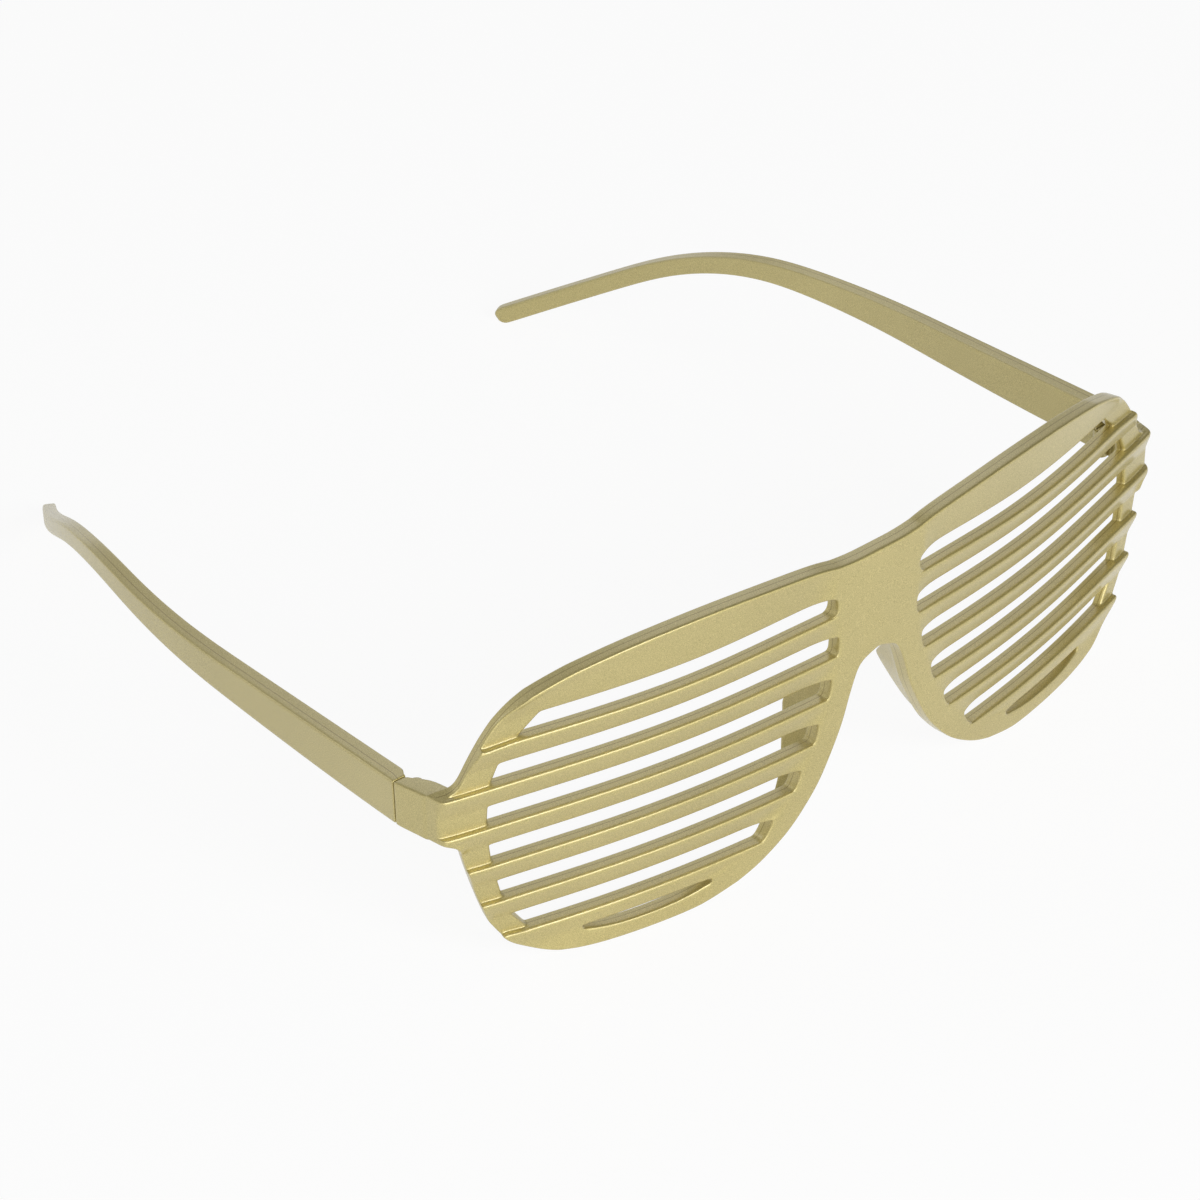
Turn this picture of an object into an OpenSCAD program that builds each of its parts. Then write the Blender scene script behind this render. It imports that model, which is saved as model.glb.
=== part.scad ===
// Party glasses: a moulded front with slats in place of lenses, two temples and two small hinges.
// Built in the front's own frame: X to the side, Y from the front face back to the temple tips,
// Z up from the lowest point of the rims. The finished pieces are leaned back a little, so that
// the glasses stand on the rims and the temple tips.

/* [Front] */
// Radius of the front's curve, seen from above
wrap_r = 216; // [190:2:250]
// Half width of the rims at their widest
rim_half = 72; // [69:0.5:75]
// Height of the front at the brow
front_h = 53; // [50:0.5:56]
// Height of the widest part of the rims
side_z = 28; // [26:0.5:30]
// Height of the nose arch
arch_z = 33.7; // [31:0.5:36]
// Distance from the middle to the lowest point of each rim
low_x = 40; // [38:0.5:43]
// Thickness of the rims, front to back
rim_t = 2.8; // [2.6:0.1:3.6]
// Width of the rims beside the slots
rim_w = 4.4; // [3.8:0.1:5]
// Width of the rims under the lowest slot
foot_w = 2.2; // [1.8:0.1:2.8]
// Half width of the flat plate over the nose
plate_half = 8; // [6:0.5:10]
// How far the flat nose plate laps over the ends of the slats
plate_over = 1.5; // [1:0.1:3]

/* [Slats] */
// Number of slats on each side, without the brow
slat_count = 6; // [5:1:6]
// Distance from one slat to the next
slat_pitch = 6.95; // [6.6:0.05:7.2]
// Height of the open slots
slot_h = 3.25; // [2.8:0.05:3.6]
// Height of the lowest ridge over the bottom of the rims
ridge_z = 7.15; // [6.8:0.05:7.6]
// How far the ridges stand out of the rims
ridge_d = 1.0; // [0.6:0.1:1.3]
// Flat height of each ridge
ridge_land = 0.5; // [0.3:0.1:1]
// Thickness of the slats, from ridge to rear edge
slat_t = 2.5; // [2:0.1:2.6]
// How far the thinner slats run on behind the rims
rim_step = 0.8; // [0.4:0.1:1.2]

/* [End blocks] */
// How much further out the front corners of the end blocks stand than the rims
block_over = 2.5; // [2:0.5:4]
// How much further out the blocks stand at the joint
block_flare = 2.0; // [1:0.1:2.4]
// Height of the blocks and of the temple roots
block_h = 7.9; // [7:0.1:9]
// Height of the underside of the blocks
block_z = 27; // [25.5:0.1:28]
// Distance from the front face of the bridge back to the joint
joint_y = 21.3; // [20:0.1:24]
// Radius of the fillet over each block
top_fillet = 3.5; // [2.5:0.5:4]
// Radius of the fillet under each block
low_fillet = 2; // [1:0.5:2.5]
// Radius of the fillet inside each block, where it leaves the rim
root_fillet = 5; // [2:0.5:5.5]
// How far each block reaches in behind the rim
block_root = 7; // [6:0.5:8]

/* [Temples] */
// Reach of the temples behind the joint
temple_l = 133.2; // [120:0.1:140]
// Thickness of the temples at the root
temple_t = 3.2; // [3:0.1:4]
// Thickness of the temples at the tip
tip_t = 2.4; // [2:0.1:3]
// Share of the length after which the temples are as low as at the tip
taper_share = 0.75; // [0.6:0.05:0.9]
// Height of the temples at the tip
tip_h = 3.2; // [2.8:0.1:5]
// Slope of the top edge between the joint and the ear
top_slope = 2; // [0.5:0.1:3]
// Length of the top edge before it turns down at the ear
ear_run = 73.9; // [65:0.5:80]
// Radius of the turn over the ear, seen from the side
ear_r = 72.4; // [50:1:90]
// Slope of the tails behind the ear
tail_slope = 30; // [22:0.5:34]
// Length of the temple that runs straight back, seen from above
straight_run = 44.4; // [35:0.5:50]
// Radius of the inward curve, seen from above
hug_r = 170; // [150:5:260]
// Running gap between block and temple at the joint
joint_gap = 0.15; // [0.1:0.05:0.3]

/* [Hinges] */
// Outer radius of the barrels
barrel_r = 1.4; // [1.2:0.1:1.6]
// Radius of the screw's shank
pin_r = 0.6; // [0.5:0.05:0.7]
// Radial running fit between screw and barrels
pin_fit = 0.05; // [0.03:0.01:0.08]
// Height of the hinge
hinge_h = 4.8; // [4.4:0.1:6]
// Height of the hinge over the underside of the blocks
hinge_rise = 0.4; // [0.3:0.1:1.2]
// Height of the middle barrel
middle_h = 1.8; // [1.6:0.1:2.4]
// Gap between neighbouring barrels
barrel_gap = 0.2; // [0.15:0.05:0.3]
// Thickness of the leaves
leaf_t = 1.0; // [0.8:0.1:1.2]
// Length of the leaves on the front, beyond the barrels
front_leaf_l = 3.8; // [3:0.2:4.2]
// Length of the leaves on the temples, beyond the barrels
temple_leaf_l = 6.4; // [4:0.2:8]
// Depth to which the leaves are let into the plastic
leaf_seat = 0.4; // [0.2:0.1:0.5]
// Clearance beside the leaves in their seats
leaf_fit = 0.1; // [0.05:0.05:0.2]
// Clearance round the barrels
swing_gap = 0.3; // [0.2:0.05:0.4]
// Radius of the screw head
head_r = 1.15; // [1:0.05:1.3]
// Height of the screw head
head_h = 0.5; // [0.4:0.05:0.8]
// Width of the slot in the screw head
head_slot = 0.35; // [0.25:0.05:0.5]

/* [Nose pads] */
// Wall thickness of the pads
pad_t = 2.0; // [1.6:0.1:2.4]
// Reach of the pads behind the front face
pad_y = 10; // [8:0.5:12]
// How far the pads lean to the sides, going back
pad_lean = 12; // [6:1:16]
// How far the pads stand inside the edge of the rims
pad_inset = 0.25; // [0.1:0.05:0.5]

/* [Hidden] */
$fn = 48;
far = 200;
eps = 0.01;
// Half the angle that the front's curve is drawn for, and how far cuts run past what they cut.
wrap_turn = 26;
cut_reach = 40;
spare = 3;
// How far a block's root stays inside the rim's faces.
root_skin = 0.45;
// Where the rims are slimmest at the foot, and how far the change to their full width reaches.
slim_shift = 2;
slim_reach = 24;
curve_steps = 3;

gold = [0.74, 0.70, 0.50];
hinge_gold = [0.62, 0.58, 0.42];
steel = [0.75, 0.75, 0.76];

// A smooth curve through every point but the first and the last, which only steer its ends.
function blend(a, b, c, d, t) =
    0.5 * (2 * b + (c - a) * t + (2 * a - 5 * b + 4 * c - d) * t * t
           + (3 * b - a - 3 * c + d) * t * t * t);
function curve(p, steps) =
    [for (i = [1 : len(p) - 3]) for (k = [0 : steps - 1])
        blend(p[i - 1], p[i], p[i + 1], p[i + 2], k / steps),
     p[len(p) - 2]];
function arc(c, r, a, b, steps) =
    [for (k = [0 : steps]) c + r * [cos(a + (b - a) * k / steps), sin(a + (b - a) * k / steps)]];
function flip(p) = [for (k = [len(p) - 1 : -1 : 0]) [-p[k][0], p[k][1]]];
function part_of(p, first, last) = [for (k = [first : last]) p[k]];

// Outline of the right half of the front, seen from in front, clockwise from the middle of the
// brow. Each list gives its points as shares of the sizes named beside it.
// Brow: half width of the rims, height of the brow over the widest part.
brow_share = [[-0.09, 0.928], [0, 0.928], [0.092, 0.928], [0.171, 0.968], [0.301, 0.992],
              [0.444, 1], [0.594, 0.978], [0.694, 0.944], [0.778, 0.892], [0.854, 0.812],
              [0.917, 0.676], [0.961, 0.5]];
// Lower side: from the lowest point out to the widest, height of the widest part.
side_share = [[0.966, 0.70], [0.92, 0.5], [0.875, 0.354], [0.794, 0.214],
              [0.694, 0.125], [0.578, 0.061], [0.4375, 0.021], [0.244, 0.004]];
// Nose: from the middle out to the lowest point, height of the arch.
nose_share = [[1, 0], [0.85, 0.007], [0.7375, 0.034], [0.625, 0.077], [0.53, 0.1365],
              [0.4325, 0.22], [0.3475, 0.326], [0.29, 0.418], [0.2375, 0.534], [0.185, 0.671],
              [0.15, 0.798], [0.12, 0.893], [0.09, 0.957], [0.05, 0.99], [0, 1], [-0.05, 0.99]];

// Reach of the pads at the points of the nose from the fourth on, as shares of the deepest.
pad_reach = [0.24, 0.34, 0.44, 0.55, 0.67, 0.83, 1, 0.66, 0.36, 0.26];

block_half = rim_half + block_over;
block_top = block_z + block_h;
top_turn = [block_half - 0.1, block_top + top_fillet];
low_turn = [rim_half + low_fillet, block_z - low_fillet];
brow_points = [for (s = brow_share) [s[0] * rim_half, side_z + s[1] * (front_h - side_z)]];
side_points = [for (s = side_share) [low_x + s[0] * (rim_half - low_x), s[1] * side_z]];
nose_points = [for (s = nose_share) [s[0] * low_x, s[1] * arch_z]];
fillet_turn = 35;
fillet_start = top_turn - top_fillet * [cos(fillet_turn), sin(fillet_turn)];
fillet_end = low_turn - [low_fillet, 0];

brow_line = curve(concat(brow_points, [fillet_start, fillet_start + [1.5, -2]]), curve_steps);
block_line = concat(arc(top_turn, top_fillet, 180 + fillet_turn, 270, 4),
                    [[block_half, block_top], [block_half, block_z]],
                    arc(low_turn, low_fillet, 90, 180, 4));
low_line = curve(concat([fillet_end + [0, 2], fillet_end], side_points, nose_points), curve_steps);
half_outline = concat(part_of(brow_line, 0, len(brow_line) - 2), block_line,
                      part_of(low_line, 1, len(low_line) - 1));
front_outline = concat(half_outline, part_of(flip(half_outline), 1, len(half_outline) - 2));

// The same rim without the block, for what lies inside it.
rim_line = concat(part_of(brow_line, 0, len(brow_line) - 2), part_of(low_line, 1, len(low_line) - 1));
function along(p, k) =
    let (a = p[max(k - 1, 0)], b = p[min(k + 1, len(p) - 1)]) (b - a) / norm(b - a);
function rim_margin(p) =
    let (t = min(1, norm([p[0] - low_x - slim_shift, p[1]]) / slim_reach)) foot_w + (rim_w - foot_w) * (1 - cos(180 * t)) / 2;
function inset(p, extra) =
    [for (k = [0 : len(p) - 1])
        let (d = along(p, k)) p[k] + (rim_margin(p[k]) + extra) * [d[1], -d[0]]];

// Slots: the lowest one lies under the lowest slat and is cut off by the rim.
slot_z = [for (k = [0 : slat_count]) ridge_z + (k - 1) * slat_pitch];
top_slot_z = slot_z[slat_count];
slots_top = top_slot_z + slot_h;
// The slots lie this much lower than the steps in the rims, so that no two cuts share a plane.
slot_ease = 0.04;

function on_wrap(x, depth) = wrap_r - sqrt(pow(wrap_r - depth, 2) - x * x);

// Temple paths: the outer face seen from above, the top edge seen from the side.
outer_x = block_half + block_flare;
temple_y = joint_y + joint_gap;
function hug_turn(y) = y < straight_run ? 0 : asin(min(1, (y - straight_run) / hug_r));
function hug_x(y) = outer_x - hug_r * (1 - cos(hug_turn(y)));
function temple_wall(y) = temple_t + (tip_t - temple_t) * y / temple_l;
arc_run = ear_r * (tail_slope - top_slope) * PI / 180;
function slope_at(s) =
    top_slope + (tail_slope - top_slope) * max(0, min(1, (s - ear_run) / arc_run));
turn_start = ear_run * [cos(top_slope), -sin(top_slope)];
function arc_point(s) =
    turn_start + ear_r * [sin(slope_at(s)) - sin(top_slope), cos(slope_at(s)) - cos(top_slope)];
function edge_point(s) =
    s < ear_run ? s * [cos(top_slope), -sin(top_slope)]
    : s < ear_run + arc_run ? arc_point(s)
    : arc_point(ear_run + arc_run) + (s - ear_run - arc_run) * [cos(tail_slope), -sin(tail_slope)];
// Run of the top edge at which the round tip starts.
tip_run = ear_run + arc_run
          + (temple_l - tip_h / 2 * (1 - sin(tail_slope)) - arc_point(ear_run + arc_run)[0]) / cos(tail_slope);
function temple_height(s) =
    tip_h + (block_h - tip_h) * (1 + cos(180 * min(1, s / tip_run / taper_share))) / 2;
function down_at(s) = [-sin(slope_at(s)), -cos(slope_at(s))];
tip_middle = edge_point(tip_run) + tip_h / 2 * down_at(tip_run) + [temple_y, block_top];

// How far the glasses lean back when they stand on the rims and the temple tips.
function rim_low(a) = min([for (p = low_line) cos(a) * p[1] - sin(a) * on_wrap(p[0], rim_t)]);
function tip_low(a) = cos(a) * tip_middle[1] - sin(a) * tip_middle[0] - tip_h / 2;
function settle(a, n) =
    n == 0 ? a : settle(a + atan((tip_low(a) - rim_low(a)) / (tip_middle[0] - on_wrap(low_x, 0))), n - 1);
lean = settle(0, 8);
front_y = min([for (p = low_line) cos(lean) * on_wrap(p[0], 0) + sin(lean) * p[1]]);
back_y = cos(lean) * tip_middle[0] + sin(lean) * tip_middle[1] + tip_h / 2;

// Hinge: its axis stands inside the joint, so far in that the leaves are level with the barrels.
inner_x = outer_x - temple_t;
hinge_x = inner_x + leaf_seat - barrel_r;
hinge_y = joint_y + joint_gap / 2;
hinge_z = block_z + hinge_rise;
middle_z = hinge_z + (hinge_h - middle_h) / 2;
clear_r = barrel_r + swing_gap;
leaf_x = inner_x + leaf_seat - leaf_t;

module resting() {
    translate([0, -(front_y + back_y) / 2, -rim_low(lean)]) rotate([-lean, 0, 0]) children();
}

module pair_side(side) {
    if (side > 0) children();
    else mirror([1, 0, 0]) children();
}

module both() {
    children();
    mirror([1, 0, 0]) children();
}

// A plate standing in the front's plane, cut from in front to behind.
module upright(depth) {
    translate([0, depth, 0]) rotate([90, 0, 0]) linear_extrude(2 * depth) children();
}

// A ring about the front's curve, with the given section of radius and height.
module wrapped(section) {
    translate([0, wrap_r, 0]) rotate([0, 0, -90 - wrap_turn])
        rotate_extrude(angle = 2 * wrap_turn, $fn = 96) polygon(section);
}

module wrap_plate(from, to, low, high) {
    wrapped([[wrap_r - to, low], [wrap_r - from, low], [wrap_r - from, high], [wrap_r - to, high]]);
}

// What is cut away between the ridges: a step at each slot, then a slope up to the next ridge.
module ridge_cut() {
    deep = wrap_r - ridge_d;
    out = wrap_r + 1;
    lands = [for (k = [1 : slat_count]) slot_z[k] - ridge_land];
    steps = [for (k = [0 : slat_count - 1]) each [
        [deep, slot_z[k]], [deep, slot_z[k] + slot_h],
        [wrap_r, lands[k]], [out, lands[k]], [out, slot_z[k + 1]]]];
    brow = [[deep, top_slot_z], [deep, slots_top], [wrap_r, front_h], [out, front_h], [out, front_h + spare]];
    nose_side = [for (p = inset(low_line, plate_over)) if (p[0] < low_x && p[0] > plate_half) p];
    intersection() {
        wrapped(concat([[out + 1, -spare], [deep, -spare]], steps, brow, [[out + 1, front_h + spare]]));
        both() upright(cut_reach) polygon(concat(
            [[far / 2, -2 * spare], [far / 2, front_h + 2 * spare], [plate_half, front_h + 2 * spare],
             [plate_half, arch_z + 1]],
            [for (k = [len(nose_side) - 1 : -1 : 0]) nose_side[k]],
            [[low_x, -2 * spare]]));
    }
}

// The field inside the rims and beside the nose plate.
module slot_field(extra) {
    both() upright(cut_reach) polygon(concat(
        [[plate_half, front_h - rim_w]],
        [for (p = inset(rim_line, extra)) if (p[0] > plate_half) p],
        [[plate_half, arch_z + 1]]));
}

module slots() {
    intersection() {
        slot_field(0);
        union() for (z = slot_z) translate([-far / 2, -spare, z - slot_ease])
            cube([far, cut_reach, slot_h]);
    }
}

module slat_relief() {
    intersection() {
        slot_field(-rim_step);
        wrap_plate(slat_t, rim_t + spare, -spare, front_h + spare);
    }
}

// An end block, from inside the rim back to the joint, with a fillet where it leaves the rim.
module block() {
    root_x = inner_x - block_root;
    front_depth = (rim_t + ridge_d) / 2 - root_skin;
    back_depth = rim_t - root_skin;
    turn = [inner_x - root_fillet, on_wrap(inner_x - root_fillet, back_depth) + root_fillet];
    translate([0, 0, block_z]) linear_extrude(block_h) polygon(concat(
        [[root_x, on_wrap(root_x, front_depth)], [block_half, on_wrap(block_half, front_depth)],
         [outer_x, joint_y], [inner_x, joint_y]],
        arc(turn, root_fillet, 0, -80, 6),
        [[root_x, on_wrap(root_x, back_depth)]]));
}

// Room for the barrels and the seat of a leaf, in the block (dir -1) or in the temple (dir 1).
module hinge_room(dir, leaf_l) {
    seat_y = clear_r + leaf_l + leaf_fit;
    translate([hinge_x, hinge_y, block_z - 1]) cylinder(r = clear_r, h = block_h + 2);
    translate([leaf_x, dir > 0 ? hinge_y : hinge_y - seat_y, hinge_z - leaf_fit])
        cube([leaf_t, seat_y, hinge_h + 2 * leaf_fit]);
}

// One nose pad: a wall from inside the rim back, deepest at the middle of the nose.
module pad() {
    count = len(pad_reach);
    first = 3;
    rings = [for (k = [0 : count - 1])
        let (p = nose_points[first + k], d = along(nose_points, first + k), n = [d[1], -d[0]],
             start = on_wrap(p[0], 0) + rim_t / 2, end = max(start + 0.4, pad_reach[k] * pad_y),
             flare = tan(pad_lean) * (end - start),
             spots = [[pad_inset, start], [pad_inset + flare, end],
                      [pad_inset + flare + pad_t, end], [pad_inset + pad_t, start]])
        for (q = spots) [p[0] + n[0] * q[0], q[1], p[1] + n[1] * q[0]]];
    sides = [for (k = [0 : count - 2]) for (j = [0 : 3])
        let (a = 4 * k + j, b = 4 * k + (j + 1) % 4, c = b + 4, e = a + 4) each [[a, b, c], [a, c, e]]];
    last = 4 * (count - 1);
    polyhedron(rings, concat(sides, [[0, 3, 2], [0, 2, 1], [last, last + 1, last + 2], [last, last + 2, last + 3]]));
}

module front_frame() {
    color(gold) resting() difference() {
        union() {
            difference() {
                intersection() {
                    wrap_plate(0, rim_t, -spare, front_h + spare);
                    upright(cut_reach) polygon(front_outline);
                }
                ridge_cut();
                slat_relief();
            }
            both() block();
            both() pad();
        }
        slots();
        both() hinge_room(-1, front_leaf_l);
    }
}

module temple_plan() {
    runs = concat([0, straight_run], [for (k = [1 : 12]) straight_run + (temple_l + 4 - straight_run) * k / 12]);
    outer = [for (y = runs) [hug_x(y), temple_y + y]];
    inner = [for (k = [len(runs) - 1 : -1 : 0])
        let (y = runs[k], a = hug_turn(y)) outer[k] - temple_wall(y) * [cos(a), sin(a)]];
    polygon(concat(outer, inner));
}

module temple_side() {
    runs = concat([-1, 0], [for (k = [1 : 8]) ear_run * k / 8], [for (k = [1 : 8]) ear_run + arc_run * k / 8],
                  [(ear_run + arc_run + tip_run) / 2]);
    top = [for (s = runs) edge_point(s)];
    base = [for (k = [len(runs) - 1 : -1 : 0]) top[k] + temple_height(runs[k]) * down_at(runs[k])];
    root = [temple_y, block_top];
    polygon(concat([for (p = top) p + root],
                   arc(tip_middle, tip_h / 2, 90 - tail_slope, -90 - tail_slope, 12),
                   [for (p = base) p + root]));
}

module temple(side) {
    color(gold) resting() pair_side(side) difference() {
        intersection() {
            translate([0, 0, -far / 2]) linear_extrude(far) temple_plan();
            rotate([90, 0, 90]) linear_extrude(far) temple_side();
        }
        hinge_room(1, temple_leaf_l);
    }
}

module temple_left() { temple(-1); }
module temple_right() { temple(1); }

// A leaf with its barrels: the plate, a neck to each barrel, and one bore through them.
module leaf(dir, leaf_l, barrels) {
    plate_y = dir > 0 ? hinge_y + clear_r : hinge_y - clear_r - leaf_l;
    neck_y = dir > 0 ? hinge_y : hinge_y - clear_r - eps;
    difference() {
        union() {
            translate([leaf_x, plate_y, hinge_z]) cube([leaf_t, leaf_l, hinge_h]);
            for (b = barrels) {
                translate([leaf_x, neck_y, b[0]]) cube([leaf_t, clear_r + eps, b[1]]);
                translate([hinge_x, hinge_y, b[0]]) cylinder(r = barrel_r, h = b[1]);
            }
        }
        translate([hinge_x, hinge_y, hinge_z - 1]) cylinder(r = pin_r + pin_fit, h = hinge_h + 2);
    }
}

outer_barrel_h = (hinge_h - middle_h) / 2 - barrel_gap;
front_barrels = [[hinge_z, outer_barrel_h], [hinge_z + hinge_h - outer_barrel_h, outer_barrel_h]];
temple_barrels = [[middle_z, middle_h]];

module hinge_front_leaf(side) { color(hinge_gold) resting() pair_side(side) leaf(-1, front_leaf_l, front_barrels); }
module hinge_temple_leaf(side) { color(hinge_gold) resting() pair_side(side) leaf(1, temple_leaf_l, temple_barrels); }
module hinge_front_leaf_left() { hinge_front_leaf(-1); }
module hinge_front_leaf_right() { hinge_front_leaf(1); }
module hinge_temple_leaf_left() { hinge_temple_leaf(-1); }
module hinge_temple_leaf_right() { hinge_temple_leaf(1); }

// A slotted screw: its head sits on the upper barrel, its shank ends level with the lower one.
module hinge_screw(side) {
    color(steel) resting() pair_side(side) translate([hinge_x, hinge_y, hinge_z]) difference() {
        union() {
            cylinder(r = pin_r, h = hinge_h + eps);
            translate([0, 0, hinge_h]) cylinder(r = head_r, h = head_h);
        }
        translate([-2 * head_r, -head_slot / 2, hinge_h + head_h / 2]) cube([4 * head_r, head_slot, head_h]);
    }
}
module hinge_screw_left() { hinge_screw(-1); }
module hinge_screw_right() { hinge_screw(1); }

front_frame();
temple_left();
temple_right();
hinge_front_leaf_left();
hinge_front_leaf_right();
hinge_temple_leaf_left();
hinge_temple_leaf_right();
hinge_screw_left();
hinge_screw_right();
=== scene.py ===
# %% [markdown]
# Party glasses with slats in place of lenses, moulded in plastic and sprayed a pale gold. The packed
# CAD model gives the sizes and the joints. This lesson dresses it: a front whose edges are all a
# little round, two slim temples, small hinges, and a paint that sparkles close up.

# %% Load the frame
import math

import bmesh
import bpy
import numpy as np
from mathutils import Matrix, Vector


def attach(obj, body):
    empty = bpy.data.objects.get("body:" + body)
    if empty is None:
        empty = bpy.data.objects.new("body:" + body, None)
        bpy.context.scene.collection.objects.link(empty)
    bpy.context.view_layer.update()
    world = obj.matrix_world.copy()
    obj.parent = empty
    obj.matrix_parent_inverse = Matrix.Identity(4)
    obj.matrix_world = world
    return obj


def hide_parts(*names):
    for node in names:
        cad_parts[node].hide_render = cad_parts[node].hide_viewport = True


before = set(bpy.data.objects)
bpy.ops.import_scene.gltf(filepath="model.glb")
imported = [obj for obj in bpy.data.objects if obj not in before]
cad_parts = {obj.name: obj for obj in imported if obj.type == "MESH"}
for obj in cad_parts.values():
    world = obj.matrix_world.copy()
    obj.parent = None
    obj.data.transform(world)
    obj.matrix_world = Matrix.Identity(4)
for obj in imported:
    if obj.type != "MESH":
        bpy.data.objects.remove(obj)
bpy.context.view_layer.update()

# %% [markdown]
# The front is easiest to think of upright, in millimetres: x to the side, y back from the bridge
# and z up from the lowest point of the rims. The finished glasses lean back about two degrees,
# because they stand on the rims and the tips of the temples. One matrix takes a finished mesh
# from the upright millimetres to the leaned metres of the frame.

# %% From the upright frame to the table
LEAN = math.radians(2.08764)
CENTRE_Y, STAND_Z = -77.81257, 0.26
SETTLE = (Matrix.Scale(0.001, 4) @ Matrix.Translation((0, CENTRE_Y, STAND_Z))
          @ Matrix.Rotation(-LEAN, 4, "X"))
print("the upright origin goes to", SETTLE @ Vector((0, 0, 0)))


def set_down(bm, name, body, replaced):
    """Moves a mesh in upright millimetres to its place and makes it a piece of the glasses."""
    bm.transform(SETTLE)
    for face in bm.faces:
        face.smooth = True
    mesh = bpy.data.meshes.new(name)
    bm.to_mesh(mesh)
    bm.free()
    piece = bpy.data.objects.new(name, mesh)
    bpy.context.collection.objects.link(piece)
    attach(piece, body)
    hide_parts(replaced)
    return piece


def round_off(piece, levels=2):
    """Lets a coarse cage flow into a smooth surface."""
    flow = piece.modifiers.new("flow", "SUBSURF")
    flow.levels = flow.render_levels = levels


# %% [markdown]
# The sizes are the ones of the CAD model. The front is bent round a radius of 216 mm, so a depth
# behind the front face becomes a y that depends on x, and the walls of the slots point at the
# middle of that bend. All slots but the lowest have the same height and pitch.

# %% Sizes of the front
# The bend, and how much nearer than a true circle its two ends stand, from where to where.
WRAP_R, END_NEARER, NEARER_FROM, NEARER_TO = 216.0, 0.85, 60, 75
# Heights: top of the arch, top of the bridge, top of the lowest slot, foot of the brow.
ARCH_Z, BRIDGE_TOP, FOOT_TOP, BROW_FOOT = 33.15, 51.2, 4.4, 45.15
# Thickness of the rims and of the slats, depth of a slat's slope, and the flat strip on its ridge.
RIM_T, SLAT_T, RIDGE_D, LAND = 2.8, 2.5, 1.0, 0.5
SLOT_H, PITCH, RIDGE_Z, SLATS = 3.25, 6.95, 7.15, 6
# The end block: its side, its lower and upper edge, and how far back it reaches.
BLOCK_X, BLOCK_Z, BLOCK_TOP, JOINT_Y = 74.5, 26.85, 34.9, 21.3
# How much further out the block's side is placed at the back of the rim. The bend takes about 1 mm
# of that back, because it narrows whatever lies behind the front face.
BLOCK_FLARE = 1.6
# At the joint: outer and inner side of the temple, and how much the lower edge has risen.
OUTER_X, INNER_X, JOINT_RISE = 76.5, 73.3, 0.4
# Middle of the hinge's barrel, seen from above, and the radius that is kept free round it.
HINGE_X, HINGE_Y, HINGE_ROOM = 72.3, 21.375, 1.7
# Lower edges of the slots. Entry 0 lies under the lowest slat and only carries the pitch on.
SLOT_Z = [RIDGE_Z + (k - 1) * PITCH for k in range(SLATS + 1)]
print("lower edges of the slots", [round(z, 2) for z in SLOT_Z[1:]])


def ease(low, high, value):
    """From 0 at low to 1 at high, with a soft start and end."""
    t = min(max((value - low) / (high - low), 0), 1)
    return t * t * (3 - 2 * t)


def on_wrap(x, depth):
    """How far back the bend lies at a place x. Both ends stand a little nearer than a true circle."""
    nearer = END_NEARER * ease(NEARER_FROM, NEARER_TO, abs(x))
    return WRAP_R - math.sqrt((WRAP_R - depth) ** 2 - x * x) - nearer


def placed(x, z, depth):
    """Bends a point of the flat front. A wall that goes back stays square to the bent face."""
    side = x * (WRAP_R - depth) / WRAP_R
    return Vector((side, on_wrap(side, depth), z))


def smooth_path(points, steps=10):
    """A smooth curve through every point but the first and the last, which only steer its ends."""
    p = np.array(points, float)
    t = np.linspace(0, 1, steps, endpoint=False)[:, None]
    parts = []
    for a, b, c, d in zip(p, p[1:], p[2:], p[3:]):
        parts.append(0.5 * (2 * b + (c - a) * t + (2 * a - 5 * b + 4 * c - d) * t ** 2
                            + (3 * b - a - 3 * c + d) * t ** 3))
    return np.vstack(parts + [p[-2:-1]])


# %% [markdown]
# The outline of half a front is two smooth curves. The brow rises from the bridge, runs over the
# eye and falls to the end block. The lower one leaves the block, goes round under the slats and
# climbs along the nose to the arch. A few points steer each, as on a spline in the editor.

# %% The outline of the front
BROW_PEAK = (32, 53)
BROW = [(-6.5, BRIDGE_TOP), (0, BRIDGE_TOP), (6.6, BRIDGE_TOP), (12.3, 52.2), (21.7, 52.8), BROW_PEAK,
        (42.8, 52.45), (50, 51.6), (56, 50.3), (61.5, 48.3), (66, 44.9), (69.2, 40.5), (71.53, 36.39),
        (73, 34.4)]
SIDE = [(72, 26.7), (72, 24.7), (70.9, 19.6), (69.4, 14), (68, 9.9), (65.4, 6), (62.2, 3.5),
        (58.5, 1.7), (54, 0.59), (47.8, 0.11), (40, 0), (34, 0.24)]
NOSE = [(47.8, 0.11), (40, 0), (34, 0.24), (29.5, 1.15), (25, 2.6), (21.2, 4.6), (17.3, 7.4),
        (13.9, 11), (11.6, 14.1), (9.5, 18), (7.4, 22.6), (6, 26.9), (4.85, 30.1), (3.9, 31.9),
        (2.4, 32.85), (0, ARCH_Z), (-2.4, 32.85)]
brow_path = smooth_path(BROW)
side_path = smooth_path(SIDE)[::-1]
nose_path = smooth_path(NOSE)

# Two fillets lead from the outline into the end block: the middle of each circle and its radius,
# and for the upper one the heights between which it shows.
LOW_X, LOW_Z, LOW_R = 74.0, 24.7, 2.0
HIGH_X, HIGH_Z, HIGH_R = 74.4, 38.4, 3.5
HIGH_FROM, HIGH_TO = 34.96, 36.39


def run_of(path):
    """How far along a path each of its points lies."""
    return np.concatenate([[0], np.cumsum(np.linalg.norm(np.diff(path, axis=0), axis=1))])


def along(path, share):
    """The point at a share of the length of a path."""
    run = run_of(path)
    return np.array([np.interp(share * run[-1], run, path[:, k]) for k in (0, 1)])


def nearest(path, point):
    """The number of the path's point that lies nearest."""
    return int(np.argmin(np.linalg.norm(path - np.array(point), axis=1)))


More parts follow.
